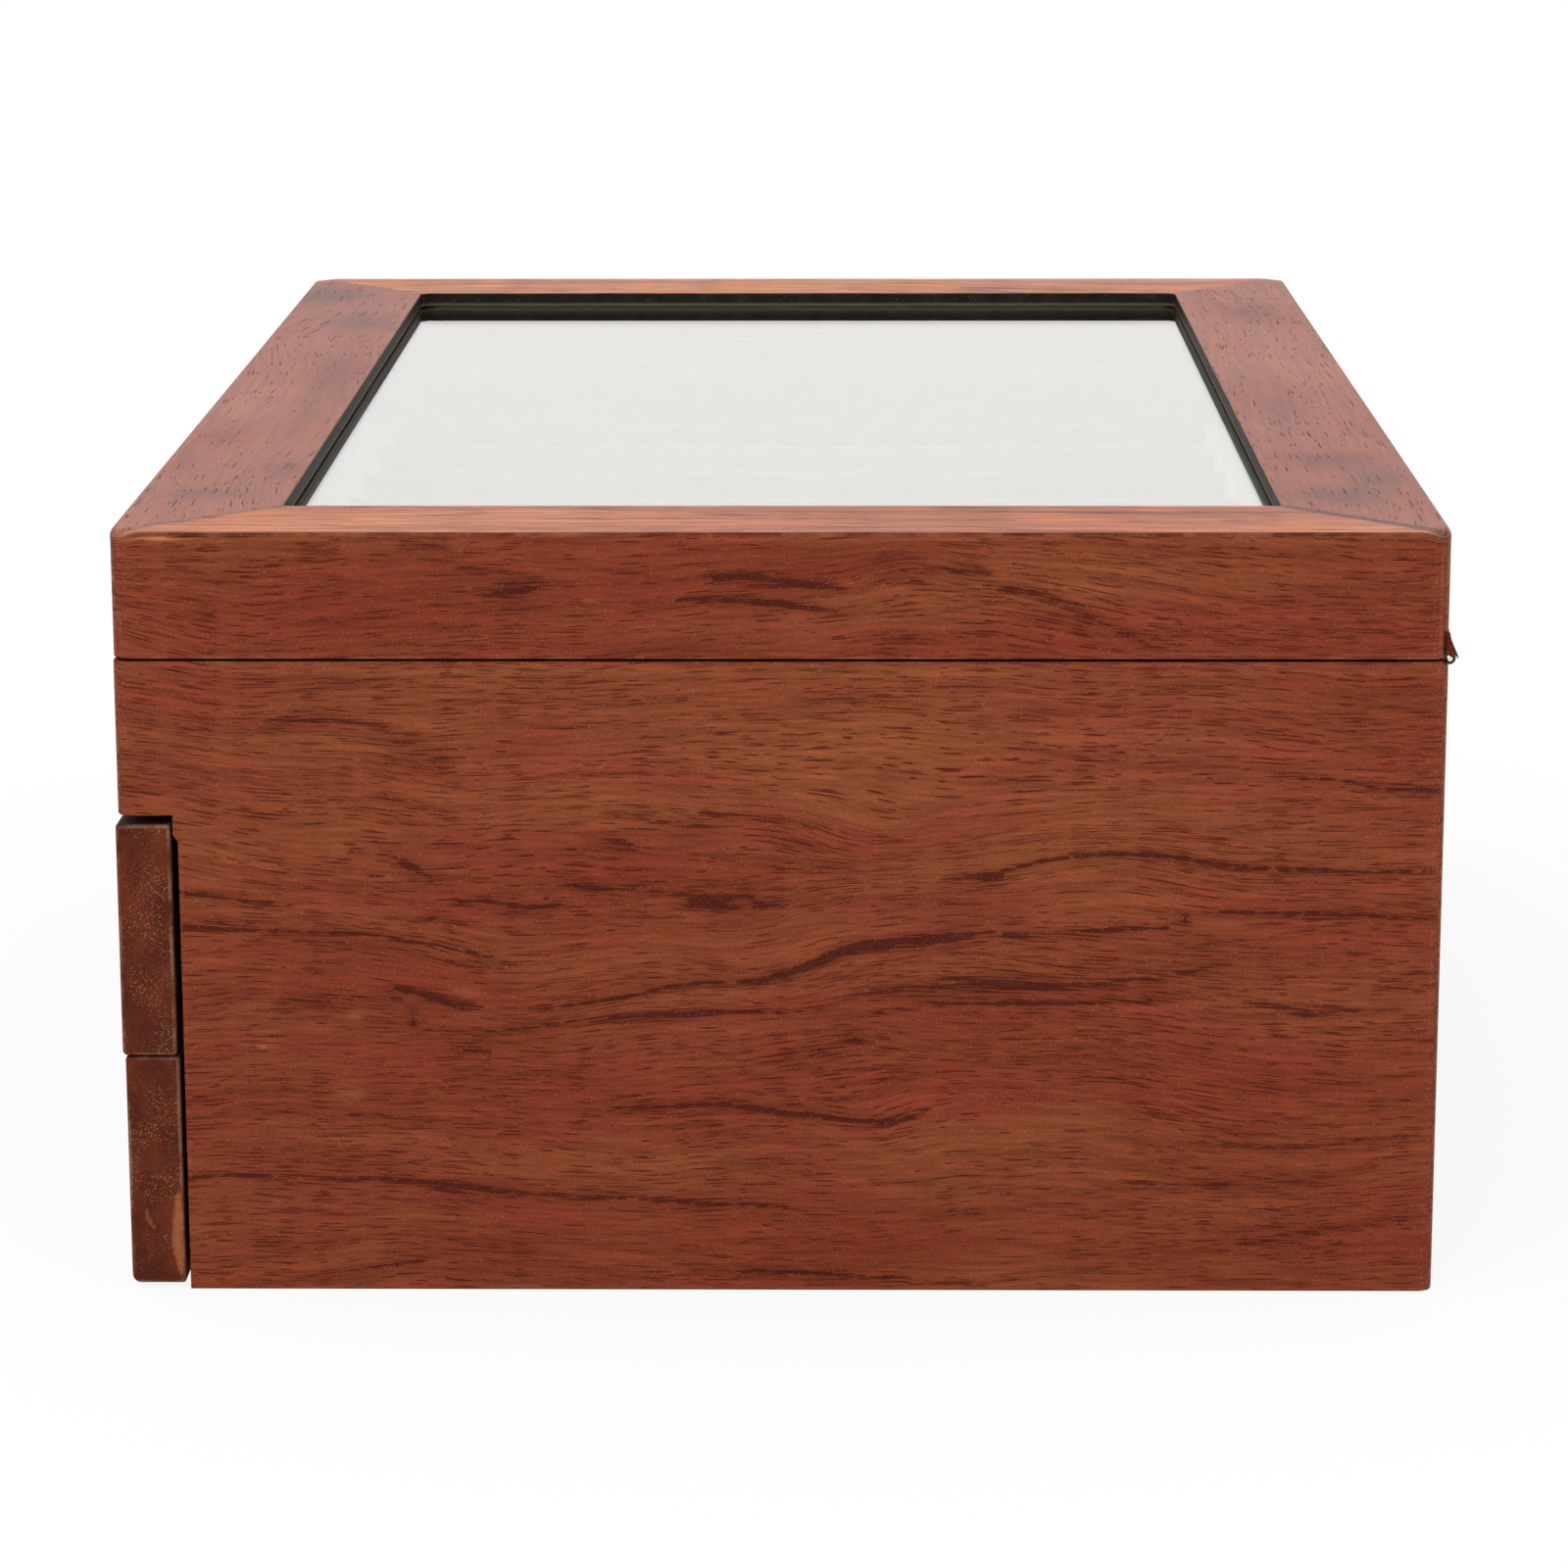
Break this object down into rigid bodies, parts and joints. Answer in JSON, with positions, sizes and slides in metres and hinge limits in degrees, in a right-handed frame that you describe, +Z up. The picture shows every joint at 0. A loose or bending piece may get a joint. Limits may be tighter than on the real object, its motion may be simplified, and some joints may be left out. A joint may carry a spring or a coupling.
{
  "type": "pen display box",
  "caption": "Veneered wooden box with a hinged, glazed lid over a grooved pen tray, and two shallow full-width drawers with pen trays below it.",
  "frame": {"origin": "centre of the bounding box at the plane that the box stands on", "axes": "+X to the right along the long side, +Y to the hinge side at the back, +Z up; the drawers open towards -Y"},
  "size_m": [0.305, 0.2046, 0.12],
  "materials": {
    "veneer": "satin lacquer over red-brown figured veneer",
    "stained_wood": "dark brown stain, matt",
    "velvet": "short-pile black velvet",
    "black_paint": "black paint, satin",
    "glass": "clear polished pane",
    "hinge_metal": "nickel-plated, bright"
  },
  "bodies": {
    "case": {"side_panel_left": "veneer", "side_panel_right": "veneer", "back_panel": "veneer", "front_board": "veneer", "bottom_panel": "stained_wood", "drawer_divider": "stained_wood", "tray_deck": "stained_wood", "liner_front": "velvet", "liner_back": "velvet", "liner_left": "velvet", "liner_right": "velvet", "pen_tray_top": "velvet", "hinge_leaf_case": "hinge_metal", "hinge_pin": "hinge_metal"},
    "lid": {"lid_rail_front": "veneer", "lid_rail_back": "veneer", "lid_rail_left": "veneer", "lid_rail_right": "veneer", "glass_bead_front": "black_paint", "glass_bead_back": "black_paint", "glass_bead_left": "black_paint", "glass_bead_right": "black_paint", "glass_pane": "glass", "hinge_leaf_lid": "hinge_metal"},
    "lower_drawer": {"lower_drawer_front": "veneer", "lower_drawer_side_left": "stained_wood", "lower_drawer_side_right": "stained_wood", "lower_drawer_back": "stained_wood", "lower_drawer_floor": "stained_wood", "pen_tray_lower": "velvet"},
    "upper_drawer": {"upper_drawer_front": "veneer", "upper_drawer_side_left": "stained_wood", "upper_drawer_side_right": "stained_wood", "upper_drawer_back": "stained_wood", "upper_drawer_floor": "stained_wood", "pen_tray_upper": "velvet"}
  },
  "joints": [
    {"name": "lid_hinge", "type": "hinge", "parent": "case", "child": "lid", "pos_m": [0, 0.1011, 0.1003], "axis": [-1, 0, 0], "range_deg": [0, 100]},
    {"name": "upper_drawer_slide", "type": "slide", "parent": "case", "child": "upper_drawer", "axis": [0, -1, 0], "range_m": [0, 0.15]},
    {"name": "lower_drawer_slide", "type": "slide", "parent": "case", "child": "lower_drawer", "axis": [0, -1, 0], "range_m": [0, 0.15]}
  ]
}
